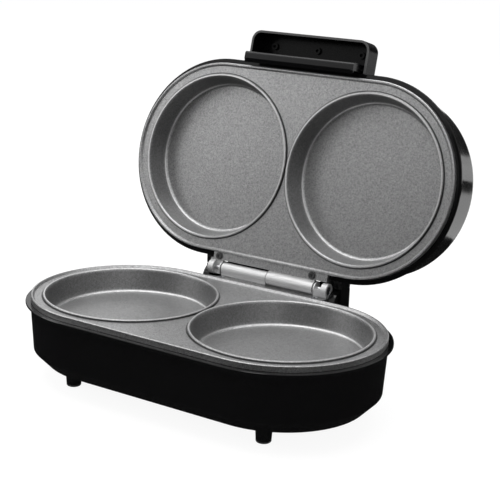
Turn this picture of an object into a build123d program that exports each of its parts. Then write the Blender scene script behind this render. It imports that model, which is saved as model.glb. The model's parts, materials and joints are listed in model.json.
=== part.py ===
from build123d import *
import os
from math import atan2, cos, radians, sin

# Countertop omelette maker with two round pans, standing with its lid open on the stops.
# Millimetres. X runs along the length, -Y is the handle side, +Y the hinge side, Z is up.
# The pieces are drawn about the middle of the two pans and then moved along Y, so that the
# origin is on the table, under the middle of the whole appliance as it stands open.
# A level is given as a distance from the closing plane, where the two plates meet:
# side -1 counts it down into the base and side 1 counts it up into the shut lid.
# Lid pieces are drawn with the lid shut and then turned about the hinge.

os.makedirs("parts", exist_ok=True)

# How far a cut runs past the face that it opens, and how deep added pieces root in a body
overshoot = 1.0

# Closing plane, pans and plates
foot_height = 16.0
closing_gap = 0.5
pan_mouth_radius = 75.0
pan_wall_taper = 4.8
pan_depth = 21.0
pan_floor_round = 3.0
bead_width = 2.6
pan_middle_gap = 1.2
plate_thickness = 2.5
flat_drop = 1.9
lip_margin = 12.7
lip_width = 1.7
lip_bevel = 1.5
skirt_height = 5.05

# Housings
flange_reach = 4.5
flange_thickness = 1.3
flange_seat_gap = 0.25
flange_cove = 3.4
flange_overhang = 4.3
ledge_width = 9.2
housing_wall = 2.2
base_wall_taper = 2.3
base_crease_depth = 48.5
base_bottom_inset = 11.1
base_bottom_drop = 11.5
lid_wall_taper = 4.3
lid_top_depth = 60.0
lid_crown_round = 12.0

# Hinge
hinge_reach = 9.8
hinge_rise = 4.4
open_angle = 104.0
barrel_radius = 5.9
ring_radius = 6.5
barrel_length = 48.6
barrel_middle_gap = 0.6
barrel_end_gap = 1.4
neck_length = 7.9
neck_collar = 1.1
ring_length = 5.5
notch_level = 1.2
knuckle_foot = 5.0
tab_side_margin = 2.4
tab_depth = 2.0
tab_gap = 0.9
pin_radius = 2.5
pin_clearance = 0.05
clip_radius = 4.1
clip_thickness = 0.8
clip_seat_depth = 1.5

# Hinge towers of the base, each with a rounded ear in front, and stop arms of the lid
tower_side_gap = 0.6
tower_width = 8.5
tower_face_setback = 6.0
tower_depth = 16.2
tower_rise = 4.1
tower_root = 3.5
ear_width = 6.7
ear_reach = 9.4
ear_crest = 12.5
heel_depth = 18.0
guard_setback = 8.0
guard_thickness = 2.0
guard_rise = 12.5
guard_notch_rise = 8.0
guard_end_gap = 0.1
guard_pip_radius = 0.8
guard_pip_length = 1.2
arm_side_inset = 0.3
arm_width = 8.2
arm_gap = 0.3
arm_height = 14.0
arm_round = 1.5

# Handle and latch
handle_half_width = 61.6
handle_reach = 29.4
handle_rim_depth = 6.0
handle_back_depth = 26.5
handle_wall = 2.0
handle_corner_radius = 9.5
handle_edge_round = 3.0
handle_seat_gap = 0.15
handle_boss_x = 46.0
handle_boss_inset = 11.6
handle_boss_radius = 3.2
handle_boss_height = 2.0
handle_screw_x = 35.0
handle_screw_depth = 18.5
handle_screw_length = 5.0
handle_screw_bite = 4.0
latch_side_gap = 2.7
latch_reach = 7.7
latch_throat_gap = 0.7
latch_bevel_gap = 1.3
latch_tip_bite = 2.4
latch_wall = 2.4
latch_lip_thickness = 1.6
latch_catch_gap = 0.3
latch_pivot_gap = 3.6
latch_pivot_depth = 14.0
latch_top_depth = 22.0
latch_pin_radius = 1.5
latch_edge_round = 2.4
spring_radius = 2.2
spring_wire_radius = 0.35
spring_turns = 4
spring_rise = 5.0

# Heating elements, their clamps and the heat shields
element_radius = 3.25
element_inset = 25.2
element_gap = 0.15
element_end_x = 12.0
element_bend_radius = 8.0
element_drop = 14.0
terminal_radius = 1.3
terminal_length = 6.0
clamp_inset = 23.2
clamp_width = 9.0
clamp_thickness = 1.0
clamp_gap = 0.15
clamp_ear = 8.2
stud_radius = 1.5
stud_length = 3.6
nut_radius = 3.0
nut_height = 1.8
shield_gap = 9.75
shield_thickness = 0.8
shield_inset = 12.4
shield_rim = 7.0
shield_boss_inset = 13.0
shield_boss_radius = 3.6
shield_window = 9.0
screw_clearance = 0.1

# Fasteners
tab_screw_long_x = 55.0
tab_screw_short_x = 45.4
tab_screw_margin = 0.3
tab_screw_head_height = 1.3
tab_screw_radius = 1.6
tab_screw_length = 12.0
tab_boss_radius = 3.6
tab_boss_depth = 18.0
recess_length = 3.4
recess_width = 0.9
recess_depth = 0.8
small_head_radius = 2.8
small_head_height = 1.6
small_screw_radius = 1.5
small_screw_length = 9.0
screw_tip_gap = 1.0
tongue_x = 40.0
tongue_width = 12.0
tongue_thickness = 1.6
tongue_gap = 0.35

# Bottom cover, feet, cord inlet and the parts on the cover
cover_border = 4.5
cover_gap = 0.3
cover_thickness = 2.2
cover_ledge = 3.3
cover_screw_inset = 3.7
cover_boss_radius = 4.0
cover_boss_height = 14.0
foot_spread = 20.2
foot_inset = 16.3
foot_top_radius = 7.25
foot_tip_radius = 6.4
foot_pad_height = 2.2
foot_pad_round = 1.6
foot_pad_stem_radius = 2.0
foot_pad_stem_length = 3.0
vent_length = 34.0
vent_width = 3.0
vent_spacing = 8.0
vent_count = 6
gland_depth = 36.0
gland_hole_radius = 6.0
gland_bore_radius = 3.75
gland_flange_radius = 8.5
gland_flange_thickness = 2.0
gland_seat_gap = 0.04
gland_length = 9.0
block_length = 42.0
block_width = 18.0
block_height = 13.0
block_ways = 4
thermostat_radius = 8.0
thermostat_height = 7.5
thermostat_ear = 12.5
fuse_radius = 2.2
fuse_length = 36.0

# Indicator lamps in the lid
lens_x = 10.0
lens_y = -58.0
lens_radius = 3.0
lens_flange_radius = 4.2
lens_rise = 1.2
lens_round = 1.0
lamp_radius = 2.4
lamp_round = 1.9
lamp_length = 9.0
lamp_gap = 0.3

# Outlines that follow from these, each as a distance from a pan's centre
pan_floor_radius = pan_mouth_radius - pan_wall_taper
pan_offset = pan_mouth_radius + bead_width + pan_middle_gap / 2
lip_radius = pan_mouth_radius + lip_margin
flange_radius = lip_radius + flange_reach
ledge_inner_radius = flange_radius - ledge_width
wall_top_radius = flange_radius - flange_overhang
base_crease_radius = wall_top_radius - base_wall_taper
base_bottom_radius = base_crease_radius - base_bottom_inset
lid_crown_radius = wall_top_radius - lid_wall_taper
shield_radius = wall_top_radius - shield_inset
element_loop_radius = pan_floor_radius - element_inset
shield_boss_y = element_loop_radius - shield_boss_inset
cover_radius = base_bottom_radius - cover_border
cover_screw_offset = cover_radius - cover_screw_inset
clamp_x = pan_offset - clamp_inset
foot_x = pan_offset + foot_spread
foot_y = cover_radius - foot_inset

# Levels that both halves share, counted from the closing plane
lip_depth = closing_gap / 2
flat_depth = lip_depth + flat_drop
web_back_depth = flat_depth + plate_thickness
skirt_depth = lip_depth + skirt_height
pan_floor_depth = lip_depth + pan_depth
pan_back_depth = pan_floor_depth + plate_thickness
ledge_depth = skirt_depth + flange_seat_gap
flange_back_depth = ledge_depth + flange_thickness
wall_start_depth = flange_back_depth + flange_cove
base_bottom_depth = base_crease_depth + base_bottom_drop
element_depth = pan_back_depth + element_gap + element_radius
shield_depth = pan_back_depth + shield_gap
closing_height = foot_height + base_bottom_depth
base_wall_slope = (wall_top_radius - base_crease_radius) / (base_crease_depth - wall_start_depth)
lid_wall_slope = (wall_top_radius - lid_crown_radius) / (lid_top_depth - wall_start_depth)
pan_slope = (pan_mouth_radius - pan_floor_radius) / pan_depth

# Hinge line, and the towers, arms, handle and latch that are placed from it and the flange
hinge_y = flange_radius + hinge_reach
hinge_z = closing_height + hinge_rise
tower_front_y = hinge_y + tower_face_setback
tower_rear_y = tower_front_y + tower_depth
ear_front_y = tower_front_y - ear_reach
ear_crest_y = ear_front_y + ear_crest
heel_front_y = tower_rear_y - heel_depth
guard_y = hinge_y + guard_setback
handle_front_y = -flange_radius - handle_reach
handle_boss_y = handle_front_y + handle_boss_inset
latch_half_width = handle_half_width - handle_wall - latch_side_gap
latch_front_y = -flange_radius - latch_reach
latch_throat_y = -flange_radius - latch_throat_gap
latch_bevel_y = -flange_radius - latch_bevel_gap
latch_tip_y = -flange_radius + latch_tip_bite
latch_pivot_y = -flange_radius - latch_pivot_gap


def level(depth, side):
    # Height above the table of a plane that lies this far from the closing plane
    return closing_height + side * depth


def opened(y, z):
    # Where a point of the shut lid lies when the lid stands open
    turn = radians(open_angle)
    dy, dz = y - hinge_y, z - hinge_z
    return hinge_y + dy * cos(turn) + dz * sin(turn), hinge_z - dy * sin(turn) + dz * cos(turn)


def shut(y, z):
    # Where a point of the open lid lies when the lid is shut
    turn = radians(open_angle)
    dy, dz = y - hinge_y, z - hinge_z
    return hinge_y + dy * cos(turn) - dz * sin(turn), hinge_z + dy * sin(turn) + dz * cos(turn)


# The appliance reaches from the base's front flange to the crown of the open lid
crown_tilt = atan2(lid_wall_slope, 1)
crown_centre_y = -lid_crown_radius + lid_crown_round * (1 / cos(crown_tilt) - lid_wall_slope)
crown_centre_z = closing_height + lid_top_depth - lid_crown_round
front_y = -flange_radius
rear_y = opened(crown_centre_y, crown_centre_z)[0] + lid_crown_round
on_table = Pos(0, -(front_y + rear_y) / 2, 0)
lid_opened = on_table * Pos(0, hinge_y, hinge_z) * Rot(X=-open_angle) * Pos(0, -hinge_y, -hinge_z)


def lid_wall_radius(depth):
    # Outer radius of the lid's wall at this distance from the closing plane
    return wall_top_radius - (depth - wall_start_depth) * lid_wall_slope


def block(low, high, mode=Mode.ADD):
    # Plain block between two opposite corners, given in any order
    sizes = [abs(b - a) for a, b in zip(low, high)]
    middle = [(a + b) / 2 for a, b in zip(low, high)]
    with Locations(tuple(middle)):
        Box(*sizes, mode=mode)


def rod_along_x(start, end, radius, y, z, mode=Mode.ADD):
    # Round rod along X between two stations
    with Locations(Location(((start + end) / 2, y, z), (0, 90, 0))):
        Cylinder(radius, abs(end - start), mode=mode)


def rod_along_y(x, start, end, radius, z, mode=Mode.ADD):
    # Round rod along Y between two stations
    with Locations(Location((x, (start + end) / 2, z), (90, 0, 0))):
        Cylinder(radius, abs(end - start), mode=mode)


def post(x, y, start, end, radius, mode=Mode.ADD):
    # Upright round post between two heights
    with Locations((x, y, (start + end) / 2)):
        Cylinder(radius, abs(end - start), mode=mode)


def carried_round(points, rounds=()):
    # A closed profile of (radius, height) points carried round both pans:
    # half a turn at each end and a straight run along each long side.
    # Each entry of rounds is a point of the profile and the radius that rounds it.
    with BuildPart() as body:
        for end in (-1, 1):
            for start_x, turning in ((end * pan_offset, True), (-pan_offset, False)):
                sign = -end if turning else end
                with BuildSketch(Plane.YZ.offset(start_x)) as section:
                    with BuildLine():
                        Polyline([(sign * r, z) for r, z in points], close=True)
                    make_face()
                    for (r, z), radius in rounds:
                        corner = section.vertices().sort_by_distance((sign * r, z, 0))[0]
                        fillet(corner, radius)
                if turning:
                    revolve(axis=Axis((start_x, 0, 0), (0, 0, 1)), revolution_arc=180)
                else:
                    extrude(amount=2 * pan_offset)
    return body.part


def stadium_disc(radius, start, end):
    # Flat stadium-shaped disc between two heights
    with BuildPart() as disc:
        with BuildSketch(Plane.XY.offset(min(start, end))):
            SlotCenterToCenter(2 * pan_offset, 2 * radius)
        extrude(amount=abs(end - start))
    return disc.part


# Stations of the hinge along X: the main barrel of each casting lies on one side of the
# middle, and its neck and end ring lie past the other casting's barrel.
barrel_start = barrel_middle_gap / 2
barrel_end = barrel_start + barrel_length
neck_start = barrel_end + barrel_end_gap
neck_end = neck_start + neck_length
ring_end = neck_end + ring_length
pin_end = ring_end - clip_seat_depth + clip_thickness + pin_clearance
tab_edge = hinge_y - ring_radius - tab_gap
tab_half_width = ring_end - tab_side_margin
tab_screw_y = (lip_radius + tab_edge) / 2
tab_screw_head_radius = (tab_edge - lip_radius) / 2 - tab_screw_margin
tower_inner_x = ring_end + tower_side_gap
tower_outer_x = tower_inner_x + tower_width
ear_outer_x = tower_inner_x + ear_width
arm_inner_x = tower_inner_x + arm_side_inset
arm_outer_x = arm_inner_x + arm_width
tab_screws = {
    -1: (tab_screw_long_x, -tab_screw_short_x),
    1: (-tab_screw_long_x, tab_screw_short_x),
}
clamp_centres = [
    (-clamp_x, -element_loop_radius),
    (-clamp_x, element_loop_radius),
    (clamp_x, -element_loop_radius),
    (clamp_x, element_loop_radius),
]


def wall_radius_of_pan(depth):
    # Inner radius of the pan's tapered wall at this distance from the closing plane
    return pan_floor_radius + (pan_floor_depth - depth) * pan_slope


def plate_casting(side):
    # Cooking plate with two pans, the raised lip, the skirt and half of the hinge
    lip = level(lip_depth, side)
    flat = level(flat_depth, side)
    back = level(web_back_depth, side)
    skirt = level(skirt_depth, side)
    past = side * overshoot
    lip_inner = lip_radius - lip_width
    edge_break = lip_width / 3
    rim = carried_round([
        (0, flat),
        (lip_inner - lip_bevel, flat),
        (lip_inner, lip),
        (lip_radius - edge_break, lip),
        (lip_radius, lip + side * edge_break),
        (lip_radius, skirt),
        (lip_radius - plate_thickness, skirt),
        (lip_radius - plate_thickness, back),
        (0, back),
    ])
    wall_across = plate_thickness / cos(atan2(pan_slope, 1))
    bead_round = bead_width / 4
    bead_outer = pan_mouth_radius + bead_width
    pan_section = [
        (0, pan_floor_depth),
        (pan_floor_radius, pan_floor_depth),
        (wall_radius_of_pan(flat_depth), flat_depth),
        (pan_mouth_radius, lip_depth + bead_round),
        (pan_mouth_radius + bead_round, lip_depth),
        (bead_outer - bead_round, lip_depth),
        (bead_outer, lip_depth + bead_round),
        (bead_outer + bead_round / 2, web_back_depth),
        (wall_radius_of_pan(web_back_depth) + wall_across, web_back_depth),
        (wall_radius_of_pan(pan_back_depth) + wall_across, pan_back_depth),
        (0, pan_back_depth),
    ]
    outer_floor_radius = wall_radius_of_pan(pan_back_depth) + wall_across
    with BuildPart() as plate:
        add(rim)
        for x in (-pan_offset, pan_offset):
            post(x, 0, flat - past, back + past, pan_mouth_radius + bead_width / 2, Mode.SUBTRACT)
        for x in (-pan_offset, pan_offset):
            with BuildSketch(Plane.XZ) as section:
                with BuildLine():
                    Polyline([(x + r, level(d, side)) for r, d in pan_section], close=True)
                make_face()
                corners = (
                    (pan_floor_radius, pan_floor_depth, pan_floor_round),
                    (outer_floor_radius, pan_back_depth, pan_floor_round + plate_thickness / 2),
                )
                for r, d, radius in corners:
                    point = (x + r, level(d, side), 0)
                    fillet(section.vertices().sort_by_distance(point)[0], radius)
            revolve(axis=Axis((x, 0, 0), (0, 0, 1)))
        # Tab behind the lip, and the barrel, neck and end ring that stand on it
        tab_face = level(tab_depth, side)
        block(
            (-tab_half_width, lip_radius - plate_thickness, tab_face),
            (tab_half_width, tab_edge, skirt),
        )
        own_barrel = (side * barrel_start, side * barrel_end)
        own_neck = (-side * neck_start, -side * neck_end)
        own_ring = (-side * neck_end, -side * ring_end)
        for x0, x1 in (own_barrel, own_neck, own_ring):
            if side < 0:
                block((x0, tab_edge - overshoot, tab_face), (x1, hinge_y + knuckle_foot, skirt))
                block((x0, hinge_y - knuckle_foot, skirt), (x1, hinge_y + knuckle_foot, hinge_z))
            else:
                block((x0, tab_edge - overshoot, tab_face), (x1, hinge_y, skirt))
        if side < 0:
            # The lower tab also runs on under the other casting's barrel
            under_end = (neck_end, hinge_y + knuckle_foot, skirt)
            block((barrel_start - barrel_middle_gap, tab_edge - overshoot, tab_face), under_end)
        rod_along_x(*own_barrel, barrel_radius, hinge_y, hinge_z)
        rod_along_x(*own_neck, barrel_radius, hinge_y, hinge_z)
        rod_along_x(*own_ring, ring_radius, hinge_y, hinge_z)
        notch_z = hinge_z - side * notch_level
        block(
            (-side * (neck_start + neck_collar), hinge_y - ring_radius, notch_z),
            (-side * neck_end, hinge_y + ring_radius, notch_z - side * 2 * ring_radius),
            Mode.SUBTRACT,
        )
        ends = ring_end + overshoot
        seat = ring_end - clip_seat_depth
        rod_along_x(-ends, ends, pin_radius + pin_clearance, hinge_y, hinge_z, Mode.SUBTRACT)
        seat_radius = clip_radius + screw_clearance
        rod_along_x(-side * seat, -side * ends, seat_radius, hinge_y, hinge_z, Mode.SUBTRACT)
        # Holes for the two tab screws
        hole_radius = tab_screw_radius + screw_clearance
        for x in tab_screws[side]:
            post(x, tab_screw_y, tab_face - past, skirt + past, hole_radius, Mode.SUBTRACT)
        # Two hooked tongues that catch behind the housing's ledge at the front
        leg_outer = ledge_inner_radius - tongue_gap
        hook_top = level(flange_back_depth + tongue_gap, side)
        hook_end = level(flange_back_depth + tongue_gap + tongue_thickness, side)
        for x in (-tongue_x, tongue_x):
            x0, x1 = x - tongue_width / 2, x + tongue_width / 2
            block((x0, -leg_outer + tongue_thickness, back - past), (x1, -leg_outer, hook_end))
            block((x0, -leg_outer, hook_top), (x1, -ledge_inner_radius - tongue_thickness, hook_end))
        # Bosses that carry the heat shield, and studs that hold the element's clamps
        boss_end = level(shield_depth, side)
        hole_start = level(shield_depth - small_screw_length, side)
        hole_radius = small_screw_radius + pin_clearance
        for y in (-shield_boss_y, shield_boss_y):
            post(0, y, back - past, boss_end, shield_boss_radius)
            post(0, y, hole_start, boss_end + past, hole_radius, Mode.SUBTRACT)
        stud_tip = level(pan_back_depth + stud_length, side)
        for x, y in clamp_centres:
            for shift in (-clamp_ear, clamp_ear):
                post(x, y + shift, level(pan_back_depth, side) - past, stud_tip, stud_radius)
    return plate.part


def heating_element(side):
    # Round tube in one loop under both pans, with its two ends bent away from the plate
    z = level(element_depth, side)
    bend_z = level(element_depth + element_bend_radius, side)
    end_z = level(element_depth + element_drop, side)
    r = element_loop_radius
    corner = element_bend_radius * (1 - cos(radians(45)))
    inset = element_bend_radius * sin(radians(45))
    with BuildPart() as element:
        with BuildLine() as path:
            for turn in (-1, 1):
                x = turn * element_end_x
                run_x = x + turn * element_bend_radius
                loop_x = turn * pan_offset
                Line((x, r, end_z), (x, r, bend_z))
                middle = (x + turn * corner, r, bend_z - side * inset)
                ThreePointArc((x, r, bend_z), middle, (run_x, r, z))
                Line((run_x, r, z), (loop_x, r, z))
                ThreePointArc((loop_x, r, z), (loop_x + turn * r, 0, z), (loop_x, -r, z))
            Line((-pan_offset, -r, z), (pan_offset, -r, z))
        with BuildSketch(Plane(origin=(element_end_x, r, end_z), z_dir=(0, 0, -side))):
            Circle(element_radius)
        sweep(path=path.wires()[0])
    return element.part


def element_terminals(side):
    # Cold pins with flat blades on the two ends of the element
    end_z = level(element_depth + element_drop, side)
    tip_z = level(element_depth + element_drop + terminal_length, side)
    blade_z = level(element_depth + element_drop + terminal_length / 2, side)
    with BuildPart() as terminals:
        for x in (-element_end_x, element_end_x):
            post(x, element_loop_radius, end_z, blade_z, terminal_radius)
            half = 2 * terminal_radius
            block(
                (x - half, element_loop_radius - terminal_radius / 3, blade_z),
                (x + half, element_loop_radius + terminal_radius / 3, tip_z),
            )
    return terminals.part


def element_clamps(side):
    # Saddle straps over the element, each with two ears flat on the pan's underside
    floor_z = level(pan_back_depth + clamp_gap, side)
    ear_z = level(pan_back_depth + clamp_gap + clamp_thickness, side)
    tube_z = level(element_depth, side)
    past = side * overshoot
    inner = element_radius + clamp_gap
    outer = inner + clamp_thickness
    with BuildPart() as clamps:
        for x, y in clamp_centres:
            with BuildSketch(Plane.YZ.offset(x - clamp_width / 2)):
                with Locations((y, (floor_z + ear_z) / 2)):
                    Rectangle(2 * (clamp_ear + 2 * stud_radius), clamp_thickness)
                with Locations((y, (floor_z + tube_z) / 2)):
                    Rectangle(2 * outer, abs(tube_z - floor_z))
                with Locations((y, tube_z)):
                    Circle(outer)
                with Locations((y, tube_z)):
                    Circle(inner, mode=Mode.SUBTRACT)
                with Locations((y, (floor_z + tube_z) / 2)):
                    Rectangle(2 * inner, abs(tube_z - floor_z), mode=Mode.SUBTRACT)
                with Locations((y, floor_z - side * outer)):
                    Rectangle(4 * outer, 2 * outer, mode=Mode.SUBTRACT)
            extrude(amount=clamp_width)
            hole_radius = stud_radius + screw_clearance
            for shift in (-clamp_ear, clamp_ear):
                post(x, y + shift, floor_z - past, ear_z + past, hole_radius, Mode.SUBTRACT)
    return clamps.part


def clamp_nuts(side):
    # Hexagon nuts on the studs of the clamps
    start = level(pan_back_depth + clamp_gap + clamp_thickness, side)
    end = start + side * nut_height
    with BuildPart() as nuts:
        with BuildSketch(Plane.XY.offset(min(start, end))):
            for x, y in clamp_centres:
                with Locations((x, y - clamp_ear), (x, y + clamp_ear)):
                    RegularPolygon(nut_radius, 6)
                    Circle(stud_radius + pin_clearance, mode=Mode.SUBTRACT)
        extrude(amount=nut_height)
    return nuts.part


def heat_shield(side):
    # Shallow metal tray behind the element, with windows for the terminals
    face = level(shield_depth, side)
    back = level(shield_depth + shield_thickness, side)
    rim = level(shield_depth - shield_rim, side)
    past = side * overshoot
    inner = shield_radius - shield_thickness
    tray = carried_round([
        (0, face),
        (inner, face),
        (inner, rim),
        (shield_radius, rim),
        (shield_radius, back),
        (0, back),
    ])
    with BuildPart() as shield:
        add(tray)
        for x in (-element_end_x, element_end_x):
            post(x, element_loop_radius, face - past, back + past, shield_window / 2, Mode.SUBTRACT)
        hole_radius = small_screw_radius + screw_clearance
        for y in (-shield_boss_y, shield_boss_y):
            post(0, y, face - past, back + past, hole_radius, Mode.SUBTRACT)
    return shield.part


def cross_recess(x, y, z, away):
    # Cross-shaped driver recess cut into a screw head whose outer face lies at z
    for length, width in ((recess_length, recess_width), (recess_width, recess_length)):
        block(
            (x - length / 2, y - width / 2, z + away * overshoot),
            (x + length / 2, y + width / 2, z - away * recess_depth),
            Mode.SUBTRACT,
        )


def shield_screws(side):
    # Two screws that hold the heat shield to the bosses of the plate
    seat = level(shield_depth + shield_thickness, side)
    top = seat + side * small_head_height
    tip = level(shield_depth - small_screw_length + screw_tip_gap, side)
    with BuildPart() as screws:
        for y in (-shield_boss_y, shield_boss_y):
            post(0, y, seat, top, small_head_radius)
            post(0, y, seat, tip, small_screw_radius)
            cross_recess(0, y, top, side)
    return screws.part


def tab_screw_pair(side):
    # The two dark screws at the ends of the hinge tab, heads towards the closing plane
    seat = level(tab_depth, side)
    top = seat - side * tab_screw_head_height
    tip = seat + side * tab_screw_length
    with BuildPart() as screws:
        for x in tab_screws[side]:
            post(x, tab_screw_y, seat, top, tab_screw_head_radius)
            post(x, tab_screw_y, seat, tip, tab_screw_radius)
            cross_recess(x, tab_screw_y, top, -side)
    return screws.part


def tab_bosses(side):
    # Bosses under the hinge tab that take its screws, drawn into the housing being made
    y_low = wall_top_radius - housing_wall
    hole_radius = tab_screw_radius + pin_clearance
    hole_end = level(tab_depth + tab_screw_length + screw_tip_gap, side)
    for x in tab_screws[side]:
        post(x, tab_screw_y, level(ledge_depth, side), level(tab_boss_depth, side), tab_boss_radius)
        block(
            (x - tab_boss_radius, y_low - overshoot, level(flange_back_depth, side)),
            (x + tab_boss_radius, tab_screw_y, level(tab_boss_depth, side)),
        )
    for x in tab_screws[side]:
        post(x, tab_screw_y, level(0, side), hole_end, hole_radius, Mode.SUBTRACT)


# Base housing: glossy moulded shell with the flange, two hinge towers and their heels
base_inner_crease = base_crease_depth - housing_wall / 2
cover_seat_depth = base_bottom_depth - cover_thickness
cover_top = level(cover_seat_depth, -1)
cover_bottom = level(base_bottom_depth, -1)
base_shell = carried_round([
    (ledge_inner_radius, level(ledge_depth, -1)),
    (flange_radius - flange_thickness / 3, level(ledge_depth, -1)),
    (flange_radius, level(ledge_depth + flange_thickness / 3, -1)),
    (flange_radius, level(flange_back_depth, -1)),
    (flange_radius - housing_wall, level(flange_back_depth, -1)),
    (wall_top_radius, level(wall_start_depth, -1)),
    (base_crease_radius, level(base_crease_depth, -1)),
    (base_bottom_radius, cover_bottom),
    (cover_radius + cover_gap, cover_bottom),
    (cover_radius + cover_gap, cover_top),
    (cover_radius - cover_ledge, cover_top),
    (cover_radius - cover_ledge, cover_top + housing_wall),
    (cover_radius + housing_wall, cover_top + housing_wall),
    (base_crease_radius - housing_wall, level(base_inner_crease, -1)),
    (wall_top_radius - housing_wall, level(flange_back_depth, -1)),
    (ledge_inner_radius, level(flange_back_depth, -1)),
])
tower_top = closing_height + tower_rise
flange_top = level(ledge_depth, -1)
heel_bottom = foot_pad_height
guard_pip_y = guard_y + guard_thickness / 2
guard_pip_z = closing_height - tower_rise
base_wall_y = wall_top_radius - housing_wall
cover_bosses = [
    (-pan_offset / 2, -cover_screw_offset),
    (pan_offset / 2, -cover_screw_offset),
    (-pan_offset / 2, cover_screw_offset),
    (pan_offset / 2, cover_screw_offset),
    (-pan_offset - cover_screw_offset, 0),
    (pan_offset + cover_screw_offset, 0),
]
gland_z = level(gland_depth, -1)
gland_wall_y = wall_top_radius - (gland_depth - wall_start_depth) * base_wall_slope

with BuildPart() as base_housing:
    add(base_shell)
    for turn in (-1, 1):
        with BuildSketch(Plane.YZ.offset(turn * tower_inner_x)):
            with BuildLine():
                crest = (ear_crest_y, tower_top)
                Polyline(
                    crest,
                    (tower_rear_y, tower_top),
                    (tower_rear_y, heel_bottom),
                    (heel_front_y, heel_bottom),
                    (heel_front_y, cover_bottom),
                    (base_wall_y - tower_root, level(base_crease_depth, -1)),
                    (base_wall_y - tower_root, flange_top),
                    (ear_front_y, flange_top),
                )
                TangentArc(crest, (ear_front_y, flange_top), tangent=(-1, 0))
            make_face()
        extrude(amount=turn * (ear_outer_x - tower_inner_x))
        # Behind its ear the tower is as wide as the stop arm above it
        block(
            (turn * (ear_outer_x - overshoot), tower_front_y, heel_bottom),
            (turn * tower_outer_x, tower_rear_y, tower_top),
        )
        # Hollow inside the tower, its ear and its heel
        inner_x = turn * (tower_inner_x + housing_wall)
        ear_x = turn * (ear_outer_x - housing_wall)
        block(
            (inner_x, tower_front_y + housing_wall, tower_top - 2 * housing_wall),
            (turn * (tower_outer_x - housing_wall), tower_rear_y - housing_wall, cover_bottom),
            Mode.SUBTRACT,
        )
        block(
            (inner_x, ear_front_y + housing_wall, flange_top - housing_wall),
            (ear_x, tower_front_y + 2 * housing_wall, cover_bottom),
            Mode.SUBTRACT,
        )
        block(
            (inner_x, heel_front_y + housing_wall, cover_bottom),
            (ear_x, tower_rear_y - housing_wall, heel_bottom + housing_wall),
            Mode.SUBTRACT,
        )
        block(
            (inner_x, base_crease_radius - 3 * housing_wall, flange_top - 4 * housing_wall),
            (ear_x, ear_front_y + 2 * housing_wall, level(base_inner_crease, -1)),
            Mode.SUBTRACT,
        )
        # Blind hole for the pip on the end of the hinge guard
        hole_end = turn * (tower_inner_x + guard_pip_length)
        hole_start = turn * (tower_inner_x - overshoot)
        hole_radius = guard_pip_radius + screw_clearance
        rod_along_x(hole_start, hole_end, hole_radius, guard_pip_y, guard_pip_z, Mode.SUBTRACT)
    tab_bosses(-1)
    for x, y in cover_bosses:
        post(x, y, cover_top, cover_top + cover_boss_height, cover_boss_radius)
    hole_radius = small_screw_radius + pin_clearance
    for x, y in cover_bosses:
        post(x, y, cover_bottom, cover_top + small_screw_length, hole_radius, Mode.SUBTRACT)
    hole_front = gland_wall_y - gland_length
    hole_rear = gland_wall_y + gland_length
    rod_along_y(0, hole_front, hole_rear, gland_hole_radius, gland_z, Mode.SUBTRACT)
base_housing.part = on_table * base_housing.part
base_housing.part.label = "base_housing"
export_step(base_housing.part, "parts/base_housing.step")

# Hinge guard: an L-shaped moulding held between the towers by a pip at each end,
# notched where the screw bosses of the open lid come down
guard_half = tower_inner_x - guard_end_gap
guard_top = closing_height + guard_rise
guard_bottom = level(flange_back_depth, -1)
guard_front_y = tab_screw_y + tab_boss_radius + guard_end_gap
guard_rear_y = guard_y + guard_thickness
notch_half = tab_boss_radius + overshoot
with BuildPart() as hinge_guard:
    block((-guard_half, guard_front_y, guard_bottom), (guard_half, guard_rear_y, flange_top))
    block((-guard_half, guard_y, guard_bottom), (guard_half, guard_rear_y, guard_top))
    for x in tab_screws[1]:
        block(
            (x - notch_half, guard_y - overshoot, closing_height + guard_notch_rise),
            (x + notch_half, guard_rear_y + overshoot, guard_top + overshoot),
            Mode.SUBTRACT,
        )
    for turn in (-1, 1):
        pip_start = turn * (guard_half - overshoot)
        pip_end = turn * (guard_half + guard_pip_length)
        rod_along_x(pip_start, pip_end, guard_pip_radius, guard_pip_y, guard_pip_z)
hinge_guard.part = on_table * hinge_guard.part
hinge_guard.part.label = "hinge_guard"
export_step(hinge_guard.part, "parts/hinge_guard.step")

# Bottom cover: flat moulding in the housing's bottom opening, with four foot posts and vents
with BuildPart() as bottom_cover:
    add(stadium_disc(cover_radius, cover_bottom, cover_top))
    for x in (-foot_x, foot_x):
        for y in (-foot_y, foot_y):
            with BuildSketch(Plane.XY.offset(cover_bottom)):
                with Locations((x, y)):
                    Circle(foot_top_radius)
            with BuildSketch(Plane.XY.offset(foot_pad_height)):
                with Locations((x, y)):
                    Circle(foot_tip_radius)
            loft()
            hole_end = foot_pad_height + foot_pad_stem_length + overshoot
            hole_radius = foot_pad_stem_radius + pin_clearance
            post(x, y, foot_pad_height, hole_end, hole_radius, Mode.SUBTRACT)
    for x, y in cover_bosses:
        post(x, y, cover_bottom, cover_top, small_screw_radius + screw_clearance, Mode.SUBTRACT)
    with BuildSketch(Plane.XY.offset(cover_bottom)):
        for x in (-pan_offset, pan_offset):
            with Locations((x, 0)):
                with GridLocations(0, vent_spacing, 1, vent_count):
                    SlotOverall(vent_length, vent_width)
    extrude(amount=cover_thickness, mode=Mode.SUBTRACT)
bottom_cover.part = on_table * bottom_cover.part
bottom_cover.part.label = "bottom_cover"
export_step(bottom_cover.part, "parts/bottom_cover.step")

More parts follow.
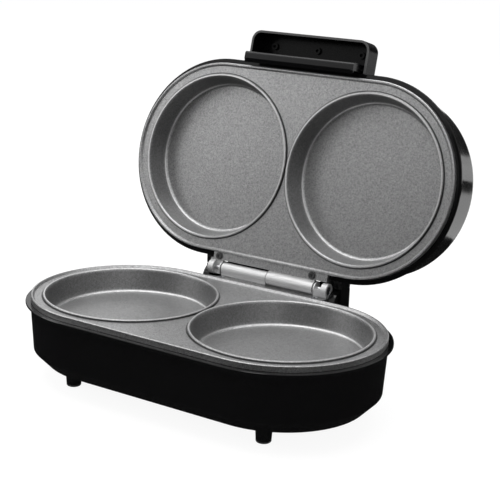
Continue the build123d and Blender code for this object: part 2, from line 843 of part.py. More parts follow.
with BuildPart() as bottom_cover_screws:
    for x, y in cover_bosses:
        head = cover_bottom - small_head_height
        post(x, y, cover_bottom, head, small_head_radius)
        post(x, y, cover_bottom, cover_top + small_screw_length - screw_tip_gap, small_screw_radius)
        cross_recess(x, y, head, -1)
bottom_cover_screws.part = on_table * bottom_cover_screws.part
bottom_cover_screws.part.label = "bottom_cover_screws"
export_step(bottom_cover_screws.part, "parts/bottom_cover_screws.step")

# Rubber pads under the four foot posts and under the two heels
with BuildPart() as foot_pads:
    for x in (-foot_x, foot_x):
        for y in (-foot_y, foot_y):
            post(x, y, 0, foot_pad_height, foot_tip_radius)
    fillet(foot_pads.edges().group_by(Axis.Z)[0], foot_pad_round)
    for x in (-foot_x, foot_x):
        for y in (-foot_y, foot_y):
            post(x, y, foot_pad_height, foot_pad_height + foot_pad_stem_length, foot_pad_stem_radius)
foot_pads.part = on_table * foot_pads.part
foot_pads.part.label = "foot_pads"
export_step(foot_pads.part, "parts/foot_pads.step")

with BuildPart() as heel_pads:
    for turn in (-1, 1):
        block(
            (turn * tower_inner_x, heel_front_y, 0),
            (turn * ear_outer_x, tower_rear_y, heel_bottom),
        )
    fillet(heel_pads.edges().group_by(Axis.Z)[0], foot_pad_round / 2)
heel_pads.part = on_table * heel_pads.part
heel_pads.part.label = "heel_pads"
export_step(heel_pads.part, "parts/heel_pads.step")

# Lower cooking plate with its screws
with BuildPart() as lower_plate:
    add(plate_casting(-1))
lower_plate.part = on_table * lower_plate.part
lower_plate.part.label = "lower_plate"
export_step(lower_plate.part, "parts/lower_plate.step")

with BuildPart() as lower_tab_screws:
    add(tab_screw_pair(-1))
lower_tab_screws.part = on_table * lower_tab_screws.part
lower_tab_screws.part.label = "lower_tab_screws"
export_step(lower_tab_screws.part, "parts/lower_tab_screws.step")

# Lower heating element with what holds it
with BuildPart() as lower_element:
    add(heating_element(-1))
lower_element.part = on_table * lower_element.part
lower_element.part.label = "lower_element"
export_step(lower_element.part, "parts/lower_element.step")

with BuildPart() as lower_element_terminals:
    add(element_terminals(-1))
lower_element_terminals.part = on_table * lower_element_terminals.part
lower_element_terminals.part.label = "lower_element_terminals"
export_step(lower_element_terminals.part, "parts/lower_element_terminals.step")

with BuildPart() as lower_element_clamps:
    add(element_clamps(-1))
lower_element_clamps.part = on_table * lower_element_clamps.part
lower_element_clamps.part.label = "lower_element_clamps"
export_step(lower_element_clamps.part, "parts/lower_element_clamps.step")

with BuildPart() as lower_clamp_nuts:
    add(clamp_nuts(-1))
lower_clamp_nuts.part = on_table * lower_clamp_nuts.part
lower_clamp_nuts.part.label = "lower_clamp_nuts"
export_step(lower_clamp_nuts.part, "parts/lower_clamp_nuts.step")

with BuildPart() as lower_heat_shield:
    add(heat_shield(-1))
lower_heat_shield.part = on_table * lower_heat_shield.part
lower_heat_shield.part.label = "lower_heat_shield"
export_step(lower_heat_shield.part, "parts/lower_heat_shield.step")

with BuildPart() as lower_shield_screws:
    add(shield_screws(-1))
lower_shield_screws.part = on_table * lower_shield_screws.part
lower_shield_screws.part.label = "lower_shield_screws"
export_step(lower_shield_screws.part, "parts/lower_shield_screws.step")

# Thermostat under the right pan, thermal fuse on the shield, terminal block on the cover
thermostat_top = level(pan_back_depth + clamp_gap, -1)
with BuildPart() as thermostat:
    post(pan_offset, 0, thermostat_top, thermostat_top - thermostat_height, thermostat_radius)
    block(
        (pan_offset - thermostat_ear, -stud_radius * 2, thermostat_top),
        (pan_offset + thermostat_ear, stud_radius * 2, thermostat_top - clamp_thickness),
    )
thermostat.part = on_table * thermostat.part
thermostat.part.label = "thermostat"
export_step(thermostat.part, "parts/thermostat.step")

with BuildPart() as thermal_fuse:
    fuse_z = level(shield_depth, -1) + clamp_gap + fuse_radius
    rod_along_y(0, -fuse_length / 2, fuse_length / 2, fuse_radius, fuse_z)
    fillet(thermal_fuse.edges().filter_by(GeomType.CIRCLE), fuse_radius / 3)
thermal_fuse.part = on_table * thermal_fuse.part
thermal_fuse.part.label = "thermal_fuse"
export_step(thermal_fuse.part, "parts/thermal_fuse.step")

with BuildPart() as terminal_block:
    block_top = cover_top + block_height
    block(
        (-block_length / 2, -block_width / 2, cover_top),
        (block_length / 2, block_width / 2, block_top),
    )
    way_pitch = block_length / block_ways
    way_z = cover_top + block_height / 3
    for way in range(block_ways):
        x = (way - (block_ways - 1) / 2) * way_pitch
        post(x, 0, way_z, block_top, way_pitch / 4, Mode.SUBTRACT)
        rod_along_y(x, -block_width / 2, block_width / 2, way_pitch / 5, way_z, Mode.SUBTRACT)
terminal_block.part = on_table * terminal_block.part
terminal_block.part.label = "terminal_block"
export_step(terminal_block.part, "parts/terminal_block.step")

# Cord inlet: a bushing in the rear wall between the towers
with BuildPart() as cord_gland:
    flange_start = gland_wall_y + gland_flange_radius * base_wall_slope + gland_seat_gap
    flange_end = flange_start + gland_flange_thickness
    body_start = flange_end - gland_length
    rod_along_y(0, flange_start, flange_end, gland_flange_radius, gland_z)
    rod_along_y(0, body_start, flange_end, gland_hole_radius - 2 * screw_clearance, gland_z)
    rod_along_y(0, body_start, flange_end, gland_bore_radius, gland_z, Mode.SUBTRACT)
cord_gland.part = on_table * cord_gland.part
cord_gland.part.label = "cord_gland"
export_step(cord_gland.part, "parts/cord_gland.step")

# Hinge pin through both castings, with a retaining clip in the hollow of each end ring
with BuildPart() as hinge_pin:
    rod_along_x(-pin_end, pin_end, pin_radius, hinge_y, hinge_z)
hinge_pin.part = on_table * hinge_pin.part
hinge_pin.part.label = "hinge_pin"
export_step(hinge_pin.part, "parts/hinge_pin.step")

with BuildPart() as hinge_pin_clips:
    bore_radius = pin_radius + pin_clearance
    for turn in (-1, 1):
        start = turn * (ring_end - clip_seat_depth + pin_clearance)
        end = start + turn * clip_thickness
        rod_along_x(start, end, clip_radius, hinge_y, hinge_z)
        rod_along_x(start, end, bore_radius, hinge_y, hinge_z, Mode.SUBTRACT)
hinge_pin_clips.part = on_table * hinge_pin_clips.part
hinge_pin_clips.part.label = "hinge_pin_clips"
export_step(hinge_pin_clips.part, "parts/hinge_pin_clips.step")

# Upper cooking plate with its screws
with BuildPart() as upper_plate:
    add(plate_casting(1))
upper_plate.part = lid_opened * upper_plate.part
upper_plate.part.label = "upper_plate"
export_step(upper_plate.part, "parts/upper_plate.step")

with BuildPart() as upper_tab_screws:
    add(tab_screw_pair(1))
upper_tab_screws.part = lid_opened * upper_tab_screws.part
upper_tab_screws.part.label = "upper_tab_screws"
export_step(upper_tab_screws.part, "parts/upper_tab_screws.step")

# Upper heating element with what holds it
with BuildPart() as upper_element:
    add(heating_element(1))
upper_element.part = lid_opened * upper_element.part
upper_element.part.label = "upper_element"
export_step(upper_element.part, "parts/upper_element.step")

with BuildPart() as upper_element_terminals:
    add(element_terminals(1))
upper_element_terminals.part = lid_opened * upper_element_terminals.part
upper_element_terminals.part.label = "upper_element_terminals"
export_step(upper_element_terminals.part, "parts/upper_element_terminals.step")

with BuildPart() as upper_element_clamps:
    add(element_clamps(1))
upper_element_clamps.part = lid_opened * upper_element_clamps.part
upper_element_clamps.part.label = "upper_element_clamps"
export_step(upper_element_clamps.part, "parts/upper_element_clamps.step")

with BuildPart() as upper_clamp_nuts:
    add(clamp_nuts(1))
upper_clamp_nuts.part = lid_opened * upper_clamp_nuts.part
upper_clamp_nuts.part.label = "upper_clamp_nuts"
export_step(upper_clamp_nuts.part, "parts/upper_clamp_nuts.step")

with BuildPart() as upper_heat_shield:
    add(heat_shield(1))
upper_heat_shield.part = lid_opened * upper_heat_shield.part
upper_heat_shield.part.label = "upper_heat_shield"
export_step(upper_heat_shield.part, "parts/upper_heat_shield.step")

with BuildPart() as upper_shield_screws:
    add(shield_screws(1))
upper_shield_screws.part = lid_opened * upper_shield_screws.part
upper_shield_screws.part.label = "upper_shield_screws"
export_step(upper_shield_screws.part, "parts/upper_shield_screws.step")

# Lid housing: glossy shell with a rounded crown and two stop arms
lid_top = level(lid_top_depth, 1)
lid_inner_top = level(lid_top_depth - housing_wall, 1)
lid_inner_crown = lid_crown_radius - housing_wall
lid_shell = carried_round(
    [
        (ledge_inner_radius, level(ledge_depth, 1)),
        (flange_radius - flange_thickness / 3, level(ledge_depth, 1)),
        (flange_radius, level(ledge_depth + flange_thickness / 3, 1)),
        (flange_radius, level(flange_back_depth, 1)),
        (flange_radius - housing_wall, level(flange_back_depth, 1)),
        (wall_top_radius, level(wall_start_depth, 1)),
        (lid_crown_radius, lid_top),
        (0, lid_top),
        (0, lid_inner_top),
        (lid_inner_crown, lid_inner_top),
        (wall_top_radius - housing_wall, level(flange_back_depth, 1)),
        (ledge_inner_radius, level(flange_back_depth, 1)),
    ],
    rounds=[
        ((lid_crown_radius, lid_top), lid_crown_round),
        ((lid_inner_crown, lid_inner_top), lid_crown_round - housing_wall),
    ],
)
arm_foot = tower_top + arm_gap
arm_corners = [
    shut(tower_front_y, arm_foot),
    shut(tower_rear_y, arm_foot),
    shut(tower_rear_y, arm_foot + arm_height + housing_wall),
    shut(tower_front_y, arm_foot + arm_height),
]
handle_screw_z = level(handle_screw_depth, 1)
handle_seat_y = -lid_wall_radius(handle_screw_depth)
with BuildPart() as lid_housing:
    add(lid_shell)
    for turn in (-1, 1):
        with BuildSketch(Plane.YZ.offset(turn * arm_inner_x)) as arm_side:
            with BuildLine():
                Polyline(arm_corners, close=True)
            make_face()
            for corner in arm_corners[:2]:
                fillet(arm_side.vertices().sort_by_distance((*corner, 0))[0], arm_round)
        extrude(amount=turn * (arm_outer_x - arm_inner_x))
    tab_bosses(1)
    hole_radius = small_screw_radius + screw_clearance
    hole_front = handle_seat_y - 2 * housing_wall
    hole_rear = handle_seat_y + 2 * housing_wall
    for x in (-handle_screw_x, handle_screw_x):
        rod_along_y(x, hole_front, hole_rear, hole_radius, handle_screw_z, Mode.SUBTRACT)
    for x in (-lens_x, lens_x):
        post(x, lens_y, lid_inner_top, lid_top, lens_radius + screw_clearance, Mode.SUBTRACT)
lid_housing.part = lid_opened * lid_housing.part
lid_housing.part.label = "lid_housing"
export_step(lid_housing.part, "parts/lid_housing.step")

# Handle: a hollow moulding open towards the closing plane, screwed to the lid's front wall
handle_rim = level(handle_rim_depth, 1)
handle_back = level(handle_back_depth, 1)
handle_ceiling = handle_back - handle_wall
handle_clear_depth = flange_back_depth + handle_seat_gap
handle_wall_start = -lid_wall_radius(wall_start_depth) - handle_seat_gap
handle_wall_end = -lid_wall_radius(handle_back_depth) - handle_seat_gap
handle_back_wall_y = handle_wall_start - handle_wall
latch_pivot_z = level(latch_pivot_depth, 1)
pin_half = handle_half_width - handle_wall / 4
with BuildPart() as handle:
    with BuildSketch(Plane.YZ.offset(-handle_half_width)):
        with BuildLine():
            Polyline(
                (handle_front_y, handle_rim),
                (-flange_radius - 2 * handle_seat_gap, handle_rim),
                (-flange_radius - 2 * handle_seat_gap, level(handle_clear_depth, 1)),
                (-flange_radius + housing_wall - handle_seat_gap, level(handle_clear_depth, 1)),
                (handle_wall_start, level(wall_start_depth, 1)),
                (handle_wall_end, handle_back),
                (handle_front_y, handle_back),
                close=True,
            )
        make_face()
    extrude(amount=2 * handle_half_width)
    fillet(handle.edges().filter_by(Axis.Z).group_by(Axis.Y)[0], handle_corner_radius)
    back_edges = handle.faces().sort_by(Axis.Z)[-1].edges().sort_by(Axis.Y)
    fillet(back_edges[:-1], handle_edge_round)
    with BuildSketch(Plane.XY.offset(handle_rim)) as cavity:
        inner_half = handle_half_width - handle_wall
        cavity_depth = handle_back_wall_y - (handle_front_y + handle_wall)
        with Locations((0, handle_front_y + handle_wall + cavity_depth / 2)):
            Rectangle(2 * inner_half, cavity_depth)
        fillet(cavity.vertices().group_by(Axis.Y)[0], handle_corner_radius - handle_wall)
    extrude(amount=handle_ceiling - handle_rim, mode=Mode.SUBTRACT)
    boss_end = handle_ceiling - handle_boss_height
    for x in (-handle_boss_x, 0, handle_boss_x):
        post(x, handle_boss_y, handle_ceiling, boss_end, handle_boss_radius)
        post(x, handle_boss_y, handle_ceiling, boss_end, small_screw_radius, Mode.SUBTRACT)
    hole_radius = small_screw_radius + pin_clearance
    hole_front = handle_seat_y - handle_screw_bite
    for x in (-handle_screw_x, handle_screw_x):
        rod_along_y(x, hole_front, handle_seat_y, hole_radius, handle_screw_z, Mode.SUBTRACT)
    bore_radius = latch_pin_radius + pin_clearance
    rod_along_x(-pin_half, pin_half, bore_radius, latch_pivot_y, latch_pivot_z, Mode.SUBTRACT)
handle.part = lid_opened * handle.part
handle.part.label = "handle"
export_step(handle.part, "parts/handle.step")

with BuildPart() as handle_screws:
    wall_lean = 2 * small_head_radius * lid_wall_slope
    head_seat = handle_seat_y + housing_wall + wall_lean + screw_clearance
    head_top = head_seat + small_head_height
    tip = head_seat - handle_screw_length
    for x in (-handle_screw_x, handle_screw_x):
        rod_along_y(x, head_seat, head_top, small_head_radius, handle_screw_z)
        rod_along_y(x, tip, head_seat, small_screw_radius, handle_screw_z)
handle_screws.part = lid_opened * handle_screws.part
handle_screws.part.label = "handle_screws"
export_step(handle_screws.part, "parts/handle_screws.step")

# Latch clip: a bar on a pin inside the handle, with a lip that catches under the base's flange
latch_catch = level(flange_back_depth + latch_catch_gap, -1)
latch_bottom = latch_catch - latch_lip_thickness
latch_top = level(latch_top_depth, 1)
with BuildPart() as latch_clip:
    with BuildSketch(Plane.YZ.offset(-latch_half_width)) as bar_section:
        with BuildLine():
            Polyline(
                (latch_front_y, latch_bottom),
                (latch_bevel_y, latch_bottom),
                (latch_tip_y, latch_catch),
                (latch_throat_y, latch_catch),
                (latch_throat_y, latch_catch + latch_lip_thickness / 2),
                (latch_front_y + latch_wall, latch_catch + latch_lip_thickness),
                (latch_front_y + latch_wall, latch_top),
                (latch_front_y, latch_top),
                close=True,
            )
        make_face()
        for height, radius in ((latch_bottom, latch_edge_round), (latch_top, latch_edge_round / 2)):
            corner = bar_section.vertices().sort_by_distance((latch_front_y, height, 0))[0]
            fillet(corner, radius)
    extrude(amount=2 * latch_half_width)
    for turn in (-1, 1):
        with BuildSketch(Plane.YZ.offset(turn * latch_half_width)) as cheek:
            with BuildLine():
                Polyline(
                    (latch_front_y + latch_edge_round, latch_bottom),
                    (latch_throat_y, latch_bottom),
                    (latch_throat_y, latch_pivot_z + 2 * latch_pin_radius),
                    (latch_front_y + latch_edge_round, latch_top),
                    (latch_front_y, latch_top - latch_edge_round),
                    (latch_front_y, latch_bottom + latch_edge_round),
                    close=True,
                )
            make_face()
        extrude(amount=-turn * latch_wall)
    bore_radius = latch_pin_radius + pin_clearance
    bore_half = latch_half_width + overshoot
    rod_along_x(-bore_half, bore_half, bore_radius, latch_pivot_y, latch_pivot_z, Mode.SUBTRACT)
latch_clip.part = lid_opened * latch_clip.part
latch_clip.part.label = "latch_clip"
export_step(latch_clip.part, "parts/latch_clip.step")

with BuildPart() as latch_pin:
    half = pin_half - screw_clearance
    rod_along_x(-half, half, latch_pin_radius, latch_pivot_y, latch_pivot_z)
latch_pin.part = lid_opened * latch_pin.part
latch_pin.part.label = "latch_pin"
export_step(latch_pin.part, "parts/latch_pin.step")

# Latch spring: a small compression coil between the handle's back wall and the top of the clip
spring_start = latch_front_y + latch_wall + spring_wire_radius + screw_clearance
spring_end = handle_back_wall_y - spring_wire_radius - screw_clearance
spring_length = spring_end - spring_start
with BuildPart() as latch_spring:
    with BuildLine() as coil:
        Helix(pitch=spring_length / spring_turns, height=spring_length, radius=spring_radius)
    with BuildSketch(Plane(origin=coil.line @ 0, z_dir=coil.line % 0)):
        Circle(spring_wire_radius)
    sweep(path=coil.line, is_frenet=True)
spring_seat = Pos(0, spring_start, latch_pivot_z + spring_rise) * Rot(X=-90)
latch_spring.part = lid_opened * spring_seat * latch_spring.part
latch_spring.part.label = "latch_spring"
export_step(latch_spring.part, "parts/latch_spring.step")

# Indicator lenses in the lid's top and the lamps behind them
with BuildPart() as indicator_lenses:
    for x in (-lens_x, lens_x):
        post(x, lens_y, lid_inner_top - lens_rise, lid_top + lens_rise, lens_radius)
        post(x, lens_y, lid_inner_top - lens_rise, lid_inner_top, lens_flange_radius)
    fillet(indicator_lenses.edges().group_by(Axis.Z)[-1], lens_round)
indicator_lenses.part = lid_opened * indicator_lenses.part
indicator_lenses.part.label = "indicator_lenses"
export_step(indicator_lenses.part, "parts/indicator_lenses.step")

with BuildPart() as indicator_lamps:
    for x in (-lens_x, lens_x):
        top = lid_inner_top - lens_rise - lamp_gap
        post(x, lens_y, top, top - lamp_length, lamp_radius)
    fillet(indicator_lamps.edges().group_by(Axis.Z)[-1], lamp_round)
indicator_lamps.part = lid_opened * indicator_lamps.part
indicator_lamps.part.label = "indicator_lamps"
export_step(indicator_lamps.part, "parts/indicator_lamps.step")
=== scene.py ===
import json
import math
import bpy
import numpy as np
from mathutils import Matrix

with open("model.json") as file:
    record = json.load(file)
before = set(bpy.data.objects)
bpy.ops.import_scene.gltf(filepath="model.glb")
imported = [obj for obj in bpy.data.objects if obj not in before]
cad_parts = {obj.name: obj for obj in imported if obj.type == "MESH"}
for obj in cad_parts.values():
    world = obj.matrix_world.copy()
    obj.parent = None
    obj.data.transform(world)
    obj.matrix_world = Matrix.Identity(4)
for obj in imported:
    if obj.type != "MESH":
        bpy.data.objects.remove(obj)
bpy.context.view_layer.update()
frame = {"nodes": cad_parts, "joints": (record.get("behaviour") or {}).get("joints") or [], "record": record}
cad = frame["nodes"]
print("frame loaded,", len(cad), "CAD nodes")


# camera at the photograph's angle; places in metres, angles in degrees
cameraPlace = {
    "azimuth": 32.837,
    "elevation": 15.378,
    "roll": 2.010,
    "position": (0.59748, -0.90966, 0.41694),
    "focalPixels": 1289.07,
    "imageSide": 500,
    "sensor": 36.0,
    "clip": (0.05, 50.0),
}


def makeCamera(p):
    az, el, roll = (math.radians(p[k]) for k in ("azimuth", "elevation", "roll"))
    back = np.array([math.sin(az) * math.cos(el), -math.cos(az) * math.cos(el), math.sin(el)])
    right = np.array([math.cos(az), math.sin(az), 0.0])
    up = np.cross(back, right)
    rightRolled = math.cos(roll) * right + math.sin(roll) * up
    upRolled = -math.sin(roll) * right + math.cos(roll) * up
    turned = Matrix(np.column_stack([rightRolled, upRolled, back]).tolist())
    data = bpy.data.cameras.new("camera")
    data.sensor_width = p["sensor"]
    data.lens = p["focalPixels"] / p["imageSide"] * p["sensor"]
    data.clip_start, data.clip_end = p["clip"]
    camera = bpy.data.objects.new("camera", data)
    camera.matrix_world = Matrix.Translation(p["position"]) @ turned.to_4x4()
    bpy.context.scene.collection.objects.link(camera)
    bpy.context.scene.camera = camera


makeCamera(cameraPlace)
bpy.context.scene.view_settings.view_transform = "Standard"
print("camera made")


# node helpers
def newMaterial(name):
    material = bpy.data.materials.new(name)
    material.use_nodes = True
    tree = material.node_tree
    tree.nodes.clear()
    output = tree.nodes.new("ShaderNodeOutputMaterial")
    shader = tree.nodes.new("ShaderNodeBsdfPrincipled")
    tree.links.new(shader.outputs["BSDF"], output.inputs["Surface"])
    return material, tree, shader


def node(tree, kind, **settings):
    made = tree.nodes.new(kind)
    for key, value in settings.items():
        setattr(made, key, value)
    return made


def noiseField(tree, scale, detail=2.0, roughness=0.5):
    # noise that is fixed to the object's own metres
    place = node(tree, "ShaderNodeTexCoord")
    noise = node(tree, "ShaderNodeTexNoise")
    noise.inputs["Scale"].default_value = scale
    noise.inputs["Detail"].default_value = detail
    noise.inputs["Roughness"].default_value = roughness
    tree.links.new(place.outputs["Object"], noise.inputs["Vector"])
    return noise.outputs["Fac"]


def streakField(tree, stretch):
    # noise drawn out by a scale of its own along each axis
    place = node(tree, "ShaderNodeTexCoord")
    scaled = node(tree, "ShaderNodeMapping")
    scaled.inputs["Scale"].default_value = stretch
    tree.links.new(place.outputs["Object"], scaled.inputs["Vector"])
    streaks = node(tree, "ShaderNodeTexNoise")
    streaks.inputs["Scale"].default_value = 1.0
    tree.links.new(scaled.outputs["Vector"], streaks.inputs["Vector"])
    return streaks.outputs["Fac"]


def remap(tree, value, low, high, toLow, toHigh):
    made = node(tree, "ShaderNodeMapRange")
    made.inputs["From Min"].default_value = low
    made.inputs["From Max"].default_value = high
    made.inputs["To Min"].default_value = toLow
    made.inputs["To Max"].default_value = toHigh
    tree.links.new(value, made.inputs["Value"])
    return made.outputs["Result"]


def blendColours(tree, factor, first, second):
    ramp = node(tree, "ShaderNodeValToRGB")
    ramp.color_ramp.elements[0].color = (*first, 1)
    ramp.color_ramp.elements[1].color = (*second, 1)
    tree.links.new(factor, ramp.inputs["Fac"])
    return ramp.outputs["Color"]


def bumpFrom(tree, height, distance):
    bump = node(tree, "ShaderNodeBump")
    bump.inputs["Distance"].default_value = distance
    tree.links.new(height, bump.inputs["Height"])
    return bump.outputs["Normal"]


def mathNode(tree, operation, first, second):
    made = node(tree, "ShaderNodeMath", operation=operation)
    for slot, value in enumerate((first, second)):
        if isinstance(value, (int, float)):
            made.inputs[slot].default_value = value
        else:
            tree.links.new(value, made.inputs[slot])
    return made.outputs[0]


def mixColour(tree, factor, first, second):
    made = node(tree, "ShaderNodeMix", data_type="RGBA")
    tree.links.new(factor, made.inputs["Factor"])
    tree.links.new(first, made.inputs[6])
    if isinstance(second, float):
        made.inputs[7].default_value = (second, second, second, 1)
    else:
        tree.links.new(second, made.inputs[7])
    return made.outputs[2]


def awayFrom(tree, point):
    # the shaded place as seen from this point
    place = node(tree, "ShaderNodeTexCoord")
    away = node(tree, "ShaderNodeVectorMath", operation="SUBTRACT")
    away.inputs[1].default_value = point
    tree.links.new(place.outputs["Object"], away.inputs[0])
    return away.outputs["Vector"]


def distanceFromLine(tree, point, direction):
    # distance of the shaded place from a line through this point
    crossed = node(tree, "ShaderNodeVectorMath", operation="CROSS_PRODUCT")
    crossed.inputs[1].default_value = direction
    tree.links.new(awayFrom(tree, point), crossed.inputs[0])
    length = node(tree, "ShaderNodeVectorMath", operation="LENGTH")
    tree.links.new(crossed.outputs["Vector"], length.inputs[0])
    return length.outputs["Value"]


def heightAlong(tree, point, direction):
    # how far the shaded place lies past this point in one direction
    along = node(tree, "ShaderNodeVectorMath", operation="DOT_PRODUCT")
    along.inputs[1].default_value = direction
    tree.links.new(awayFrom(tree, point), along.inputs[0])
    return along.outputs["Value"]


def band(tree, value, low, high, soft):
    # one between two limits, falling softly to zero outside them
    rising = remap(tree, value, low - soft, low + soft, 0.0, 1.0)
    falling = remap(tree, value, high - soft, high + soft, 1.0, 0.0)
    return mathNode(tree, "MULTIPLY", rising, falling)


# where the open appliance stands: the hinge line, and the middle of the two pans on the
# closing plane, for the base and for the lid that has turned up with them
closing = {
    "middle": (0.0, -0.053171, 0.076),
    "axis": (0, 0, 1),
    "hingeAxis": (1, 0, 0),
    "openAngle": 104.0,
}
hingeLine = [j for j in frame["joints"] if j["name"] == "lid_hinge"][0]["pos_m"]
openTurn = math.radians(closing["openAngle"])
fromHingeY = closing["middle"][1] - hingeLine[1]
fromHingeZ = closing["middle"][2] - hingeLine[2]
upperMiddle = (
    0.0,
    hingeLine[1] + fromHingeY * math.cos(openTurn) + fromHingeZ * math.sin(openTurn),
    hingeLine[2] - fromHingeY * math.sin(openTurn) + fromHingeZ * math.cos(openTurn),
)
upperAxis = (0.0, math.sin(openTurn), math.cos(openTurn))


# speckled non-stick coating; distances in metres from a pan's axis and from the hinge line
coating = {
    "dark": (0.13, 0.13, 0.132),
    "light": (0.56, 0.56, 0.562),
    "speckScale": 1900.0,
    "speckDetail": (3.0, 0.7),
    "speckRange": (0.36, 0.64),
    "cloudScale": 520.0,
    "cloudRange": (0.3, 0.7),
    "cloudShare": 0.25,
    "roughness": (0.33, 0.41),
    "metallic": 0.88,
    "bump": 0.00003,
    "bareReach": (0.007128, 0.0072),
    "bare": (0.66, 0.66, 0.662),
    "bareDark": (0.50, 0.50, 0.502),
    "bareMetallic": 0.6,
    "bareRoughness": 0.14,
    "streakScale": (60.0, 2600.0, 2600.0),
    "streakRange": (0.35, 0.65),
    "panOffset": 0.0782,
    # rings of painted shade and painted highlight round each pan: nearest and farthest distance, softness,
    # strength, tone
    "shadeAndHighlightRings": [
        # painted shade on the pan wall
        (0.0709, 0.0746, 0.0004, 0.40, 0.11),
        # painted shade in the crevice at the bead's foot
        (0.0774, 0.0785, 0.0002, 0.85, 0.04),
        # painted highlight along the bead's crest
        (0.0756, 0.0766, 0.0003, 0.75, 0.70),
        # painted highlight at the turn of the floor
        (0.0697, 0.0704, 0.0002, 0.60, 0.62),
    ],
}


def coatingMaterial(name, p, middle, axis):
    material, tree, shader = newMaterial(name)
    speckNoise = noiseField(tree, p["speckScale"], *p["speckDetail"])
    specks = remap(tree, speckNoise, *p["speckRange"], 0.0, 1.0)
    clouds = remap(tree, noiseField(tree, p["cloudScale"]), *p["cloudRange"], 0.0, 1.0)
    both = node(tree, "ShaderNodeMix", data_type="FLOAT")
    both.inputs["Factor"].default_value = p["cloudShare"]
    tree.links.new(specks, both.inputs[2])
    tree.links.new(clouds, both.inputs[3])
    coat = blendColours(tree, both.outputs[0], p["dark"], p["light"])
    # painted highlights on the bead's crest and at the turn of the floor, painted shade on the wall and at
    # the bead's foot
    ends = [(middle[0] + side * p["panOffset"], middle[1], middle[2]) for side in (-1, 1)]
    fromLeft, fromRight = (distanceFromLine(tree, end, axis) for end in ends)
    nearest = mathNode(tree, "MINIMUM", fromLeft, fromRight)
    # each ring mixes a painted shade or painted highlight tone into the coating
    for low, high, soft, strength, tone in p["shadeAndHighlightRings"]:
        share = mathNode(tree, "MULTIPLY", band(tree, nearest, low, high, soft), strength)
        coat = mixColour(tree, share, coat, tone)
    # distance from the hinge line picks out the machined knuckles
    fromHinge = distanceFromLine(tree, hingeLine, closing["hingeAxis"])
    bare = remap(tree, fromHinge, *p["bareReach"], 1.0, 0.0)
    spread = remap(tree, streakField(tree, p["streakScale"]), *p["streakRange"], 0.0, 1.0)
    metal = blendColours(tree, spread, p["bareDark"], p["bare"])
    tree.links.new(mixColour(tree, bare, coat, metal), shader.inputs["Base Color"])
    rough = remap(tree, specks, 0.0, 1.0, p["roughness"][1], p["roughness"][0])
    rougher = remap(tree, bare, 0.0, 1.0, 0.0, p["bareRoughness"])
    tree.links.new(mathNode(tree, "ADD", rough, rougher), shader.inputs["Roughness"])
    metalness = remap(tree, bare, 0.0, 1.0, p["metallic"], p["bareMetallic"])
    tree.links.new(metalness, shader.inputs["Metallic"])
    tree.links.new(bumpFrom(tree, specks, p["bump"]), shader.inputs["Normal"])
    return material


# moulded plastic: colour, gloss and a faint ripple or grain
moulding = {"grainDetail": 3.0, "grainRange": (0.3, 0.7), "lift": 1.25}
glossBlack = {
    "colour": (0.004, 0.004, 0.0042),
    "roughness": (0.07, 0.12),
    "scale": 55.0,
    "bump": 0.00002,
    "specular": 0.28,
}
satinBlack = {
    "colour": (0.008, 0.008, 0.0085),
    "roughness": (0.16, 0.24),
    "scale": 1400.0,
    "bump": 0.00002,
    "specular": 0.4,
}
handleBlack = {
    "colour": (0.003, 0.003, 0.0032),
    "roughness": (0.2, 0.3),
    "scale": 900.0,
    "bump": 0.00001,
    "specular": 0.12,
    # rim of the moulding painted lighter as a painted sheen: depths from the closing plane between which it
    # ends, and tone
    "rim": {"ends": (0.0063, 0.0066), "tone": 0.085},
}
latchBlack = {
    "colour": (0.003, 0.003, 0.0032),
    "roughness": (0.16, 0.24),
    "scale": 900.0,
    "bump": 0.00001,
    "specular": 0.3,
}
rubberBlack = {
    "colour": (0.014, 0.014, 0.014),
    "roughness": (0.6, 0.75),
    "scale": 1800.0,
    "bump": 0.00004,
    "specular": 0.3,
}
naturalNylon = {
    "colour": (0.62, 0.60, 0.54),
    "roughness": (0.35, 0.5),
    "scale": 900.0,
    "bump": 0.00002,
    "specular": 0.4,
}


def mouldedMaterial(name, p):
    material, tree, shader = newMaterial(name)
    grain = noiseField(tree, p["scale"], moulding["grainDetail"])
    lifted = tuple(moulding["lift"] * c for c in p["colour"])
    colour = blendColours(tree, grain, p["colour"], lifted)
    # painted sheen: the moulding up to a depth from the closing plane takes a lighter tone
    if "rim" in p:
        depth = heightAlong(tree, upperMiddle, upperAxis)
        share = remap(tree, depth, *p["rim"]["ends"], 1.0, 0.0)
        colour = mixColour(tree, share, colour, p["rim"]["tone"])
    tree.links.new(colour, shader.inputs["Base Color"])
    gloss = remap(tree, grain, *moulding["grainRange"], *p["roughness"])
    tree.links.new(gloss, shader.inputs["Roughness"])
    tree.links.new(bumpFrom(tree, grain, p["bump"]), shader.inputs["Normal"])
    shader.inputs["Specular IOR Level"].default_value = p["specular"]
    return material


